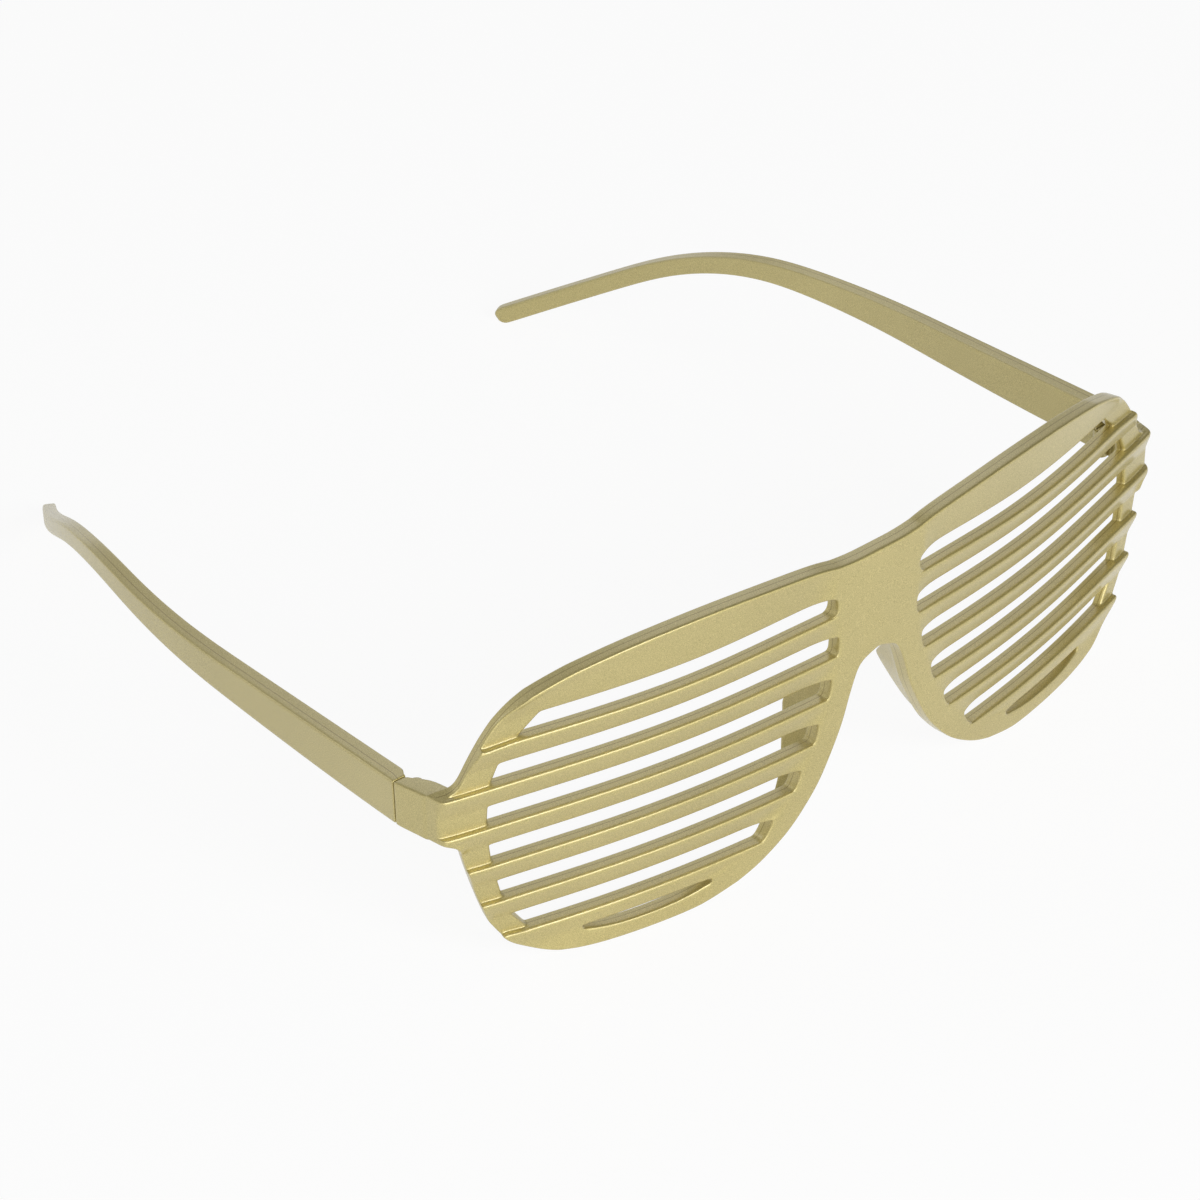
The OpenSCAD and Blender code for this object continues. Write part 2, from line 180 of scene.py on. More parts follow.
def inward(path, point, distance):
    """A point moved into the plastic, at right angles to the outline."""
    k = min(max(nearest(path, point), 1), len(path) - 2)
    d = path[k + 1] - path[k - 1]
    return np.array(point) + distance * np.array([-d[1], d[0]]) / np.linalg.norm(d)


def outer_x(z):
    """Half width of the outline at a height, end block and its fillets included."""
    if z <= LOW_Z:
        return float(np.interp(z, side_path[:, 1], side_path[:, 0]))
    if z < BLOCK_Z - 0.01:
        return LOW_X - math.sqrt(LOW_R ** 2 - (z - LOW_Z) ** 2)
    if z <= HIGH_FROM:
        return BLOCK_X
    if z < HIGH_TO:
        return HIGH_X - math.sqrt(HIGH_R ** 2 - (HIGH_Z - z) ** 2)
    fall = brow_path[nearest(brow_path, BROW_PEAK):][::-1]
    return float(np.interp(z, fall[:, 1], fall[:, 0]))


# The outline as one line round the plastic, which keeps it on its left: bottom, side and brow,
# then the nose from the arch down to the bottom.
round_edge = np.vstack([side_path, [(LOW_X, BLOCK_Z), (BLOCK_X, BLOCK_Z), (BLOCK_X, BLOCK_TOP)],
                        brow_path[::-1]])
nose_edge = nose_path[::-1]
print("outline points", len(round_edge) + len(nose_edge))

# %% [markdown]
# Each slot ends short of the outline. Where it ends is one curve beside the nose and one at the
# outer side, so both can be read off for any height.

# %% Where the slots end
NOSE_END = [(FOOT_TOP, 31.9), (7.15, 22.4), (10.4, 20.3), (14.1, 16.4), (17.35, 15.0), (21.05, 12.6),
            (24.3, 11.75), (28, 10.0), (31.25, 9.3), (34.95, 8.3), (38.2, 8.1), (41.9, 8.5),
            (BROW_FOOT, 8.5)]
OUTER_END = [(FOOT_TOP, 53.7), (7.15, 62.3), (10.4, 64.7), (14.1, 65.9), (17.35, 66.6),
             (21.05, 67.3), (24.3, 67.6), (28, 67.8), (31.25, 67.5), (34.95, 67.0), (38.2, 65.5),
             (41.9, 62.6), (BROW_FOOT, 59.0)]
# Near the nose the upper slots sit a little higher than their ridges further out.
NOSE_LIFT = [(17, 0), (22.7, 0.2), (29.6, 0.4), (36.6, 0.65), (43.5, 1.0), (45.5, 1.0), (50.5, 0)]


def read_off(table, z):
    """The value of a table at a height, read between its entries."""
    heights, values = zip(*table)
    return float(np.interp(z, heights, values))


print("a slot at half height ends at", read_off(NOSE_END, 24), "and", read_off(OUTER_END, 24))

# %% [markdown]
# The front starts as a plain grid for one half. Its rows follow the slats and its columns run from
# the nose to the side, so every ridge and slot edge has rows of its own. Close pairs of rows or
# columns keep an edge tight when the cage is rounded off later, and wide ones let it flow. Only
# the places of the points are worked out here; the operators make all the faces.

# %% Rows and columns of the grid
# Each row: its step in the pitch, its height over the slat's lower edge on the front and on the
# back, and its depth where that isn't read off the slope.
STEPS = [("h", 0.4, 0.35, None), ("i", 1.7, 1.4, None), ("a", 3.0, 2.3, 0.0), ("b", 3.64, 2.85, 0.06),
         ("c", 3.7, 3.35, 0.6), ("d", 3.7, 3.7, RIDGE_D), ("e", 4.3, 4.2, RIDGE_D),
         ("f", 6.35, 6.6, RIDGE_D), ("g", 6.95, 6.95, RIDGE_D)]
# The lowest slot cuts off the foot of the first slat, so the first two rows there stand higher.
FIRST_SLAT = {"h": 1.5, "i": 2.3}
# The end block needs one more row under it and one more at the fillet over it.
EXTRA_ROWS = {"h4": ("hh4", 1.1, 0.9, None), "e5": ("ee5", 5.1, 5.2, RIDGE_D)}
rows = [("foot", n, 0.0, 0.0, 0.0) for n in range(4)] + [("g0", 0, FOOT_TOP, FOOT_TOP, None)]
for k in range(1, SLATS + 1):
    base = SLOT_Z[k - 1] + SLOT_H
    for step, front, back, depth in STEPS:
        if k == 1 and step in FIRST_SLAT:
            front = back = FIRST_SLAT[step]
        rows.append((step + str(k), k, base + front, base + back, depth))
        if step + str(k) in EXTRA_ROWS:
            name, front, back, depth = EXTRA_ROWS[step + str(k)]
            rows.append((name, k, base + front, base + back, depth))
rows += [("brow", n, 0.0, 0.0, 0.0) for n in range(5)]
row_of = {name: n for n, (name, *_) in enumerate(rows)}
top_row = len(rows) - 1
arch_row = row_of["a5"]
low_row, high_row = row_of["g0"], row_of["g6"]
# Columns: 0 on the nose, 4 and 13 at the ends of the slots, 18 on the outer side.
SLOT_FIRST, SLOT_LAST, LAST = 4, 13, 18
print("rows", len(rows), "columns", LAST + 1)

# %% [markdown]
# The ends of the rows are spread along the nose and up the middle of the bridge. At the outer side
# they stay at the heights of the ridges, because there the ridges run on to the outline.

# %% Ends of the rows
FOOT_LEFT, FOOT_RIGHT, BROW_RIGHT = (27.6, 1.72), (57.2, 1.27), (60.4, 48.75)
left_path = nose_path[nearest(nose_path, FOOT_LEFT):]
foot_path = np.vstack([nose_path[:nearest(nose_path, FOOT_LEFT) + 1][::-1],
                       side_path[1:nearest(side_path, FOOT_RIGHT) + 1]])
crown_path = brow_path[:nearest(brow_path, BROW_RIGHT) + 1]
# Heights on the outer side of the few rows that meet the end block or its upper fillet.
RIGHT_Z = {"hh4": 26.1, "i4": BLOCK_Z, "d5": 35.02, "e5": 35.55, "ee5": 36.4}


def left_end(row):
    """Foot of the row on the nose, or on the middle line above the arch."""
    if row <= arch_row:
        measure = run_of(left_path) + left_path[:, 1] - left_path[0, 1]
        at = measure[-1] * (row / arch_row)
        return np.array([np.interp(at, measure, left_path[:, k]) for k in (0, 1)])
    share = (row - arch_row) / (top_row - arch_row)
    return np.array([0.0, ARCH_Z + (BRIDGE_TOP - ARCH_Z) * share])


def right_end(row):
    """End of the row on the outer side, or on the outline above and below the slats."""
    name, _, z, *_ = rows[row]
    if row < low_row:
        stop = nearest(side_path, (outer_x(FOOT_TOP), FOOT_TOP)) + 1
        return along(side_path[nearest(side_path, FOOT_RIGHT):stop], row / low_row)
    if row > high_row:
        stop = nearest(brow_path, (outer_x(BROW_FOOT), BROW_FOOT)) + 1
        crown = brow_path[nearest(brow_path, BROW_RIGHT):stop]
        return along(crown, (top_row - row) / (top_row - high_row))
    z = RIGHT_Z.get(name, z)
    return np.array([outer_x(z), z])


print("the arch row starts at", left_end(arch_row))

# %% [markdown]
# Between the two ends of a slot the columns are spread, with two close to each end. The lowest and
# the highest rows follow the outline, and the rows between them and the slats are mixed from both.
# That way the grid can bend with the rim and still be straight where the slats are.

# %% Rows on the slats
# How far the row or column next to the outline lies inside it, and the same along the brow.
TUCK, BROW_TUCK = 0.45, 0.6
# How far from a slot's end the next column stands, outside the slot.
BESIDE = 0.8
# How far both corners at a slot's nose end are drawn in, so that the end is round: in most slots,
# and in the highest one.
CORNER, TOP_CORNER = 0.35, 1.0
# The next three columns from a slot's nose end: a distance, or in a short slot the slot's length
# divided by the second number.
CLOSE, SECOND, THIRD = (0.7, 12), (3.2, 6), (7, 4)
# The last columns before the outline, where a row ends on the end block.
BLOCK_COLUMNS = (70.2, 72.6, 73.5)


def shares(inner, outer):
    """Columns from the nose end of a slot to its outer end."""
    length = outer - inner
    close, second, third = (min(most, length / parts) for most, parts in (CLOSE, SECOND, THIRD))
    far = [length - close, length]
    spread = np.linspace(third, far[0], 6)[1:-1]
    return [inner + v for v in [0, close, second, third] + list(spread) + far]


def beside_nose(row, left):
    """The second point of a row: inside the nose's edge, or a step from the middle line."""
    if row < arch_row:
        return inward(nose_edge, left, TUCK)
    return left + ([0.5, 0.3] if row == arch_row else [1.0, 0.0])


def level_row(row):
    """The points of a row in the slats, all at their exact heights."""
    name, k, z, *_ = rows[row]
    inner, outer = read_off(NOSE_END, z), read_off(OUTER_END, z)
    if k > 0 and name[0] in "dg":
        inner += TOP_CORNER if k == SLATS else CORNER
    left, right = left_end(row), right_end(row)
    points = [left, beside_nose(row, left), None, (inner - BESIDE, z)]
    points += [(x, z) for x in shares(inner, outer)]
    points += [(outer + BESIDE, z), None, None, None, right]
    points[2] = 0.5 * (np.array(points[1]) + np.array(points[3]))
    if row_of["hh4"] < row < row_of["d5"]:
        near, middle, far = BLOCK_COLUMNS
        points[15:LAST] = [(near, 0.5 * (z + right[1])), (middle, right[1]), (far, right[1])]
    else:
        start, stop = np.array(points[14]), inward(round_edge, right, TUCK)
        points[15:LAST] = [start + (stop - start) * 0.4, start + (stop - start) * 0.75, stop]
    return [np.array(p, float) for p in points]


level = {row: level_row(row) for row in range(low_row, high_row + 1)}
print("points in a row", len(level[low_row]))

# %% [markdown]
# The lowest slot is no strip like the others but a thin lens along the rim, so the rows under it are
# closest to it at its two ends and lowest in its middle.

# %% Rows under and over the slats
# Height of the lowest slot at its ends, and how much more it has in its middle.
LIP, LENS_DROP = 0.7, 1.1


def row_shares(points):
    """How far along its row each point lies, as a share."""
    run = run_of(points)
    return run / run[-1]


def lens_share(x):
    """How open the lowest slot is at a place x: 0 at its ends and 1 in its middle."""
    inner, outer = read_off(NOSE_END, FOOT_TOP), read_off(OUTER_END, FOOT_TOP)
    q = min(max((x - inner) / (outer - inner), 0), 1)
    return 1 - abs(2 * q - 1) ** 3


def foot_row(row):
    """Rows under the lowest slot: the outline, a row close to it, a mixed one and the slot's lip."""
    edge = [along(foot_path, s) for s in row_shares(level[low_row])]
    if row == 0:
        return edge
    lower_edge = np.vstack([nose_edge, side_path])
    points = []
    for p, top in zip(edge, level[low_row]):
        tuck = inward(lower_edge, p, TUCK)
        lip = top - [0, LIP + LENS_DROP * lens_share(top[0])]
        points.append({1: tuck, 2: 0.45 * tuck + 0.55 * lip, 3: lip}[row])
    points[0] = left_end(row)
    points[1] = inward(nose_edge, points[0], TUCK)
    points[LAST] = right_end(row)
    points[LAST - 1] = inward(round_edge, points[LAST], TUCK)
    return points


def brow_row(row):
    """Rows over the highest slot, up to the edge of the brow."""
    edge = [along(crown_path, s) for s in row_shares(level[high_row])]
    n = row - high_row - 1
    points = []
    for low, top in zip(level[high_row], edge):
        tuck = inward(round_edge, top, BROW_TUCK)
        points.append([low + [0, TUCK], 0.6 * low + 0.4 * top, 0.25 * low + 0.75 * top, tuck, top][n])
    points[0] = left_end(row)
    points[1] = points[0] + [1, 0]
    points[LAST] = right_end(row)
    if row < top_row:
        points[LAST - 1] = inward(round_edge, points[LAST], TUCK)
    return points


flat = {row: level[row] if row in level else foot_row(row) if row < low_row else brow_row(row)
        for row in range(len(rows))}
print("rows of the flat front", len(flat))

# %% [markdown]
# A slat is not flat: its face comes forward from its lower edge to the ridge at its top, which
# catches the light as one bright line. Beside the nose all this relief dies away. At the outer side
# it runs on over the end block to the outline, and is shallow only along the block's lower edge,
# so that the corner there stays whole.

# %% Places of the points on the front
# Depth of the rows over the highest slot, up to the brow's edge, as a share of a ridge, and of the
# rows under the lowest slot, as a share of the slope there.
BROW_DEPTHS, FOOT_DEPTHS = [0.93, 0.6, 0.25, 0.04, 0.0], [0, 0.1, 0.5, 1]
# What is left of the slope's depth along the end block's lower edge.
BLOCK_RECESS = 0.25
# The relief comes in from a little before a slot's nose end to a little behind it.
RELIEF_BEFORE, RELIEF_BEHIND = 0.5, 2.4
# The lift beside the nose fades out between two places x, and over a strip along the nose.
LIFT_FULL, LIFT_END, LIFT_STRIP = 13, 38, 6


def lift(x, z):
    """How much a point beside the nose is raised. The outline itself stays."""
    rise = read_off(NOSE_LIFT, z) * (1 - ease(LIFT_FULL, LIFT_END, x))
    wall = np.interp(z, nose_path[:-1, 1], nose_path[:-1, 0]) if z < ARCH_Z else -LIFT_STRIP
    return rise * ease(0, LIFT_STRIP, x - wall)


def slope_depth(z):
    """Depth of a slat's face at a height. Under the lowest slat the slope is half as deep."""
    k = max(n for n in range(SLATS + 1) if z >= SLOT_Z[n] + SLOT_H - 1e-6)
    rise = (z - SLOT_Z[k] - SLOT_H) / (PITCH - SLOT_H - LAND)
    return RIDGE_D * (1 - min(1, rise)) * (0.5 if k == 0 else 1)


def front_spot(col, row):
    """Place and depth of a point on the front."""
    name, *_, depth = rows[row]
    x, z = flat[row][col]
    if row > high_row:
        depth = RIDGE_D * BROW_DEPTHS[row - high_row - 1]
    elif row < low_row:
        depth = slope_depth(FOOT_TOP) * (1 - lens_share(x)) * FOOT_DEPTHS[row]
    elif depth is None:
        depth = slope_depth(z)
    if col > 16 and name in ("h4", "hh4", "i4"):
        depth *= BLOCK_RECESS
    if col > 16 and row_of["i4"] <= row < row_of["c5"]:
        x += BLOCK_FLARE * depth / RIM_T
    if low_row <= row <= high_row and col in (2, 3):
        spread = left_end(row)[1]
        z = spread + (z - spread) * (col - 1) / 3
    end = flat[row][SLOT_FIRST][0]
    return x, z + lift(x, z), depth * ease(end - RELIEF_BEFORE, end + RELIEF_BEHIND, x)


print("a ridge at its middle", front_spot(9, row_of["b3"]))

# %% [markdown]
# The back of the front is a second sheet behind the first. It is flat, 2.8 mm behind the face at the
# rims and 2.5 mm at the slats, and its rows are spread more evenly. At the end block its columns
# stand where the block will be drawn out, and its sides flare: each point of the side stands as
# much further out as it lies further back, so that the side is one even face.

# %% Places of the points on the back
# How far from a slot's end the next column stands, and how much shorter the slot is at each end.
BACK_BESIDE, BACK_SHORTER = 0.4, 0.3
# The last three columns on the block and on the row just over it.
BLOCK_IN = 71.8
BLOCK_BACK_X = {16: BLOCK_IN, 17: BLOCK_X + BLOCK_FLARE - TUCK, LAST: BLOCK_X + BLOCK_FLARE}
OVER_BLOCK_X = {16: BLOCK_IN, 17: BLOCK_X + 0.9, LAST: BLOCK_X + 1.35}
# Heights on the block and over it, and small shifts, where the slats' rows don't fit.
BLOCK_HEIGHTS = {"a4": BLOCK_Z + TUCK, "a5": BLOCK_TOP - TUCK, "b5": BLOCK_TOP}
BLOCK_SHIFTS = {"b4": -0.15, "d4": 0.2}
OVER_BLOCK = {"c5": 35.05, "d5": 35.3}


def back_spot(col, row):
    """Place and depth of a point on the back."""
    name, n, _, back, _ = rows[row]
    x, z = flat[row][col]
    thick = SLAT_T if 3 <= col <= 14 and 3 <= row <= high_row + 1 else RIM_T
    if low_row <= row <= high_row:
        if col == 2:
            x = flat[row][3][0] - BACK_BESIDE
        elif col == 15:
            x, z = flat[row][14][0] + BACK_BESIDE, 0.4 * z + 0.6 * back
        elif 3 <= col <= 14:
            z = back
        in_slot = row_of["d%d" % max(n, 1)] <= row <= row_of["g%d" % max(n, 1)]
        if in_slot:
            x += {SLOT_FIRST: BACK_SHORTER, SLOT_LAST: -BACK_SHORTER}.get(col, 0)
    if col > 15 and row_of["hh4"] < row < row_of["c5"]:
        z = BLOCK_HEIGHTS.get(name, z) + BLOCK_SHIFTS.get(name, 0)
        x = BLOCK_BACK_X[col]
    elif col > 15 and name in OVER_BLOCK:
        z = OVER_BLOCK[name]
        if name == "c5":
            x = OVER_BLOCK_X[col]
    return x, z + lift(x, z), thick


print("the same ridge on the back", back_spot(9, row_of["b3"]))

# %% [markdown]
# Now the mesh itself. The grid gets its places, the faces in the slots are deleted, and the open
# edges are drawn back in three steps to make the walls: a short one behind the front edge, a long
# one to just before the back, and the last short one. The short ones decide how round the edge
# gets. A copy of the grid closes the back, and the two are merged.

# %% Grid, slots and walls
# First step of a wall: along most edges, along the brow, and the depth it reaches at the end block.
EDGE_ROUND, BROW_ROUND, BLOCK_ROUND = 0.4, 0.75, 1.4
# Last step of a wall, and the least first step at the end block.
BACK_ROUND = 0.35


def picked(geometry, kind):
    """The points, edges or faces among what an operator returns."""
    return [g for g in geometry if isinstance(g, kind)]


def new_half():
    """A grid with its columns and rows written on its points, and holes for the slots."""
    bm = bmesh.new()
    bmesh.ops.create_grid(bm, x_segments=LAST, y_segments=top_row, size=1)
    col_mark, row_mark = bm.verts.layers.int.new("col"), bm.verts.layers.int.new("row")
    bm.verts.layers.float.new("depth")
    for v in bm.verts:
        v[col_mark] = round((v.co.x + 1) / 2 * LAST)
        v[row_mark] = round((v.co.y + 1) / 2 * top_row)
    holes = []
    for face in bm.faces:
        col = min(v[col_mark] for v in face.verts)
        row = min(v[row_mark] for v in face.verts)
        in_slot = rows[row][0][0] in "def" and low_row < row < high_row or row == low_row - 1
        if SLOT_FIRST <= col < SLOT_LAST and in_slot:
            holes.append(face)
    bmesh.ops.delete(bm, geom=holes, context="FACES")
    return bm, col_mark, row_mark


def wall_share(step, col, row, near, thick):
    """How far back along a wall a step lies. The wall starts at the depth near."""
    if step == 3:
        return 1
    if step == 2:
        return 1 - BACK_ROUND / thick
    if col == LAST and row_of["hh4"] < row < row_of["d5"]:
        return max(BACK_ROUND, BLOCK_ROUND - near) / thick
    on_brow = row >= row_of["d5"] and col > 4 or row == top_row
    return min(BROW_ROUND if on_brow else EDGE_ROUND, 0.4 * thick) / thick


def front_half():
    """Face, back and walls of one half, open only along the middle line."""
    bm, col_mark, row_mark = new_half()
    depth_mark = bm.verts.layers.float["depth"]
    back = bmesh.ops.duplicate(bm, geom=bm.verts[:] + bm.edges[:] + bm.faces[:])["geom"]
    bmesh.ops.reverse_faces(bm, faces=picked(back, bmesh.types.BMFace))
    behind = set(picked(back, bmesh.types.BMVert))

    def put(v, spot):
        on_block = v[col_mark] > 15 and row_of["hh4"] < v[row_mark] < row_of["c5"]
        v.co, v[depth_mark] = placed(*spot), 0 if on_block else spot[2]

    def in_middle(edge):
        return all(v[col_mark] == 0 and v[row_mark] >= arch_row for v in edge.verts)

    for v in bm.verts:
        put(v, (back_spot if v in behind else front_spot)(v[col_mark], v[row_mark]))
    edges = [e for e in bm.edges if e.is_boundary and e.verts[0] not in behind and not in_middle(e)]
    for step in (1, 2, 3):
        made = bmesh.ops.extrude_edge_only(bm, edges=edges)["geom"]
        for v in picked(made, bmesh.types.BMVert):
            col, row = v[col_mark], v[row_mark]
            near, far = front_spot(col, row), back_spot(col, row)
            share = wall_share(step, col, row, near[2], far[2] - near[2])
            put(v, tuple(a + (b - a) * share for a, b in zip(near, far)))
        # The next step starts at the edges that have only one face of four corners so far.
        edges = [e for e in picked(made, bmesh.types.BMEdge)
                 if sum(len(f.verts) for f in e.link_faces) == 4]
    bmesh.ops.remove_doubles(bm, verts=bm.verts[:], dist=0.0005)
    bmesh.ops.recalc_face_normals(bm, faces=bm.faces[:])
    return bm, col_mark, row_mark


bm, col_mark, row_mark = front_half()
print("half cage faces", len(bm.faces), "open edges", sum(e.is_boundary for e in bm.edges))

# %% [markdown]
# The end block is drawn out of the back in rings. Its inner side swings into a fillet first, then
# runs straight to the joint, where the corner is cut away for the barrel of the hinge.

# %% Draw out the end block
# Inner and outer corner of the block in each ring, seen from above.
BLOCK_RINGS = [((71.15, 14.9), (75.32, 16.0)), ((71.4, 16.4), (75.52, 17.0)),
               ((71.85, 18.2), (75.9, 18.6)), ((72.9, 19.6), (76.2, 19.9)),
               ((HINGE_X + 1.5, 20.6), (76.38, 20.7)),
               ((HINGE_X + HINGE_ROOM, JOINT_Y), (OUTER_X, JOINT_Y))]


def faces_behind(bm, first_col, last_col, first_row, last_row):
    """The faces of the back sheet between two columns and two rows."""
    found = []
    for face in bm.faces:
        in_span = all(first_col <= v[col_mark] <= last_col and first_row <= v[row_mark] <= last_row
                      for v in face.verts)
        if in_span and all(v.co.y > on_wrap(v.co.x, RIM_T) - 0.1 for v in face.verts):
            found.append(face)
    return found


def draw_out(bm, faces, place):
    """Extrudes faces and puts each new point where the place function says."""
    made = bmesh.ops.extrude_face_region(bm, geom=faces)["geom"]
    bmesh.ops.delete(bm, geom=[f for f in faces if f.is_valid], context="FACES")
    for v in picked(made, bmesh.types.BMVert):
        v.co = place(v)
    return picked(made, bmesh.types.BMFace)


faces = faces_behind(bm, 16, LAST, row_of["i4"], row_of["b5"])
print("block faces", len(faces))
for inner, outer in BLOCK_RINGS:
    def place(v, inner=Vector(inner), outer=Vector(outer)):
        across = {16: 0.0, 17: 1 - TUCK / (outer - inner).length, LAST: 1.0}[v[col_mark]]
        at = inner.lerp(outer, across)
        rise = JOINT_RISE / len(BLOCK_RINGS) * (BLOCK_TOP - v.co.z) / (BLOCK_TOP - BLOCK_Z)
        return Vector((at.x, at.y, v.co.z + rise))
    faces = draw_out(bm, faces, place)

# %% [markdown]
# A nose pad is a wall that grows out of the back along the nose. It is highest in the middle of the
# nose and dies away at both ends, and it leans a little outwards.

# %% Draw out the nose pad
# How far back the pad reaches at each height of the nose, and the heights between which it stands.
PAD_REACH = [(2.6, 2.6), (4.6, 3.4), (7.4, 4.4), (11, 5.5), (14.1, 6.7), (18, 8.3), (22.6, 10.0),
             (26.9, 6.6), (30.1, 3.9), (32.2, 3.0)]
PAD_LOW, PAD_HIGH = 3.4, 32
PAD_INSET, PAD_T, PAD_LEAN, PAD_LEAST = 0.25, 2.0, math.tan(math.radians(12)), 0.05
PAD_STEPS = (0.08, 0.5, 0.94, 1.0)


def pad_place(share):
    """A place function for the ring of the pad at a share of its height."""
    def place(v):
        end = left_end(v[row_mark])
        start = on_wrap(end[0], RIM_T)
        y = start + max(PAD_LEAST, read_off(PAD_REACH, end[1]) - start) * share
        spot = inward(nose_edge, end, PAD_INSET + PAD_LEAN * (y - start) + PAD_T * v[col_mark] / 2)
        return Vector((spot[0], y, spot[1]))
    return place


pad_rows = [r for r in range(low_row, arch_row) if PAD_LOW < left_end(r)[1] < PAD_HIGH]
faces = faces_behind(bm, 0, 2, pad_rows[0], pad_rows[-1])
print("pad faces", len(faces))
for share in PAD_STEPS:
    faces = draw_out(bm, faces, pad_place(share))

# %% [markdown]
# The two halves of such a front are mirror images, so the second one is mirrored, not modelled. The
# points on the middle line merge, and the mirror turns faces, so the normals are worked out again.

# %% Mirror, merge and round off the front
bmesh.ops.mirror(bm, geom=bm.verts[:] + bm.edges[:] + bm.faces[:], axis="X", merge_dist=0.001)
bmesh.ops.recalc_face_normals(bm, faces=bm.faces[:])
print("front cage faces", len(bm.faces), "open edges", sum(e.is_boundary for e in bm.edges))
print("edges with more than two faces", sum(len(e.link_faces) > 2 for e in bm.edges))
front = set_down(bm, "front", "front", "front_frame")
round_off(front)

# %% [markdown]
# A temple is one slim bar: straight back from the joint, then curving in towards the head and down
# behind the ear. The curve along its top edge is worked out first, as a run from the root to the
# tip, because everything else is measured from it.

# %% Path of the temples
# Lengths of the whole temple and its tip, its thickness at both ends, and its height at both ends.
TEMPLE_L, TEMPLE_T, TIP_T, TIP_H, ROOT_H = 133.2, 3.2, 2.4, 3.2, 7.65
# The share of the run over which the height tapers, and the run over which the rings' tilt fades in.
TAPER, TILT_RUN = 0.75, 6
# Slope of the straight part, the run where the ear's curve starts, its radius, slope of the tail.
TOP_SLOPE, EAR_RUN, EAR_R, TAIL_SLOPE = math.radians(2), 73.9, 72.4, math.radians(30)
# Where the temple starts to curve in, the radius of that curve, and where its root stands.
STRAIGHT, HUG_R, TEMPLE_Y = 44.4, 170.0, 21.45
ARC_RUN = EAR_R * (TAIL_SLOPE - TOP_SLOPE)


def slope_at(s):
    """How steeply the top edge falls at a run s."""
    return TOP_SLOPE + (TAIL_SLOPE - TOP_SLOPE) * max(0, min(1, (s - EAR_RUN) / ARC_RUN))


def edge_point(s):
    """The top edge: how far back and how far up from the root."""
    ahead = min(s, EAR_RUN)
    y, z = ahead * math.cos(TOP_SLOPE), -ahead * math.sin(TOP_SLOPE)
    if s > EAR_RUN:
        a = slope_at(s)
        y += EAR_R * (math.sin(a) - math.sin(TOP_SLOPE))
        z += EAR_R * (math.cos(a) - math.cos(TOP_SLOPE))
    rest = max(0, s - EAR_RUN - ARC_RUN)
    return y + rest * math.cos(TAIL_SLOPE), z - rest * math.sin(TAIL_SLOPE)


TIP_RUN = EAR_RUN + ARC_RUN + (TEMPLE_L - TIP_H / 2 * (1 - math.sin(TAIL_SLOPE))
                               - edge_point(EAR_RUN + ARC_RUN)[0]) / math.cos(TAIL_SLOPE)
print("length of the top edge", round(TIP_RUN, 2), "mm")


def temple_spot(s, down, across, squeeze=1.0):
    """A point at run s, a share down from the top edge and a share across from the outer face."""
    u = min(1, s / TIP_RUN / TAPER)
    height = TIP_H + (ROOT_H - TIP_H) * (1 + math.cos(math.pi * u)) / 2
    down = 0.5 + (down - 0.5) * squeeze
    y, z = edge_point(s)
    a = slope_at(s)
    # The root stands upright, so that the gap at the joint is even. Further back the ring tilts.
    tilt = ease(0, TILT_RUN, s)
    y, z = y - math.sin(a) * height * down * tilt, z - math.cos(a) * height * down
    turn = math.asin(max(0, y - STRAIGHT) / HUG_R)
    wall = TEMPLE_T + (TIP_T - TEMPLE_T) * y / TEMPLE_L
    x = OUTER_X - HUG_R * (1 - math.cos(turn)) - across * wall * math.cos(turn)
    return Vector((x, TEMPLE_Y + y - across * wall * math.sin(turn), BLOCK_TOP + z))


# %% [markdown]
# The bar is one ring of points drawn along that path. The ring is a rectangle with a close pair of
# points at each corner, which keeps the edges crisp. Behind the ear the pairs move apart, because
# the tail of the real temple is softer. At the tip the rings shrink as a half circle does, and get
# thinner as well. Where the root meets the hinge, the inner corner makes room for the barrel.

# %% Make a temple
RIM_SHARES = [0.0, 0.16, 0.84, 1.0]
SIDE_SHARES = [0.1, 0.5, 0.9]
SECTION = ([(0.0, a) for a in RIM_SHARES] + [(d, 1.0) for d in SIDE_SHARES]
           + [(1.0, a) for a in RIM_SHARES[::-1]] + [(d, 0.0) for d in SIDE_SHARES[::-1]])
# Where the points beside a corner go on the soft tail, which is fully soft a little before the tip.
SOFT_SHARES = {0.16: 0.32, 0.84: 0.68, 0.1: 0.27, 0.9: 0.73}
SOFT_BEFORE_TIP = 14
# Runs of the rings near the root and on the straight part, and where the even ones start.
ROOT_RUNS, EVEN_FROM = [0.0, 0.35, 0.8, 1.4, 2.1, 6, 14, 24, 34], 41
# Rings before the tip's half circle: run left, and width. Then the half circle: angle and width.
BEFORE_TIP = [(2.4, 1), (1.1, 0.98), (0, 0.95)]
TIP_ROUND = [(20, 0.9), (40, 0.82), (58, 0.68), (74, 0.46), (86, 0.2)]


def ring_places(s, squeeze=1.0, shrink=1.0):
    """The points of one ring at run s. Squeeze makes it lower and shrink makes it thinner."""
    places = []
    soft = ease(EAR_RUN, TIP_RUN - SOFT_BEFORE_TIP, s)
    for down, across in SECTION:
        down += (SOFT_SHARES.get(down, down) - down) * soft
        across += (SOFT_SHARES.get(across, across) - across) * soft
        spot = temple_spot(s, down, 0.5 + (across - 0.5) * shrink, squeeze)
        if s < 2 and across > 0.8:
            room = math.sqrt(max(0, HINGE_ROOM ** 2 - (spot.y - HINGE_Y) ** 2))
            spot.x += max(0, HINGE_X + room - INNER_X)
        places.append(spot)
    return places


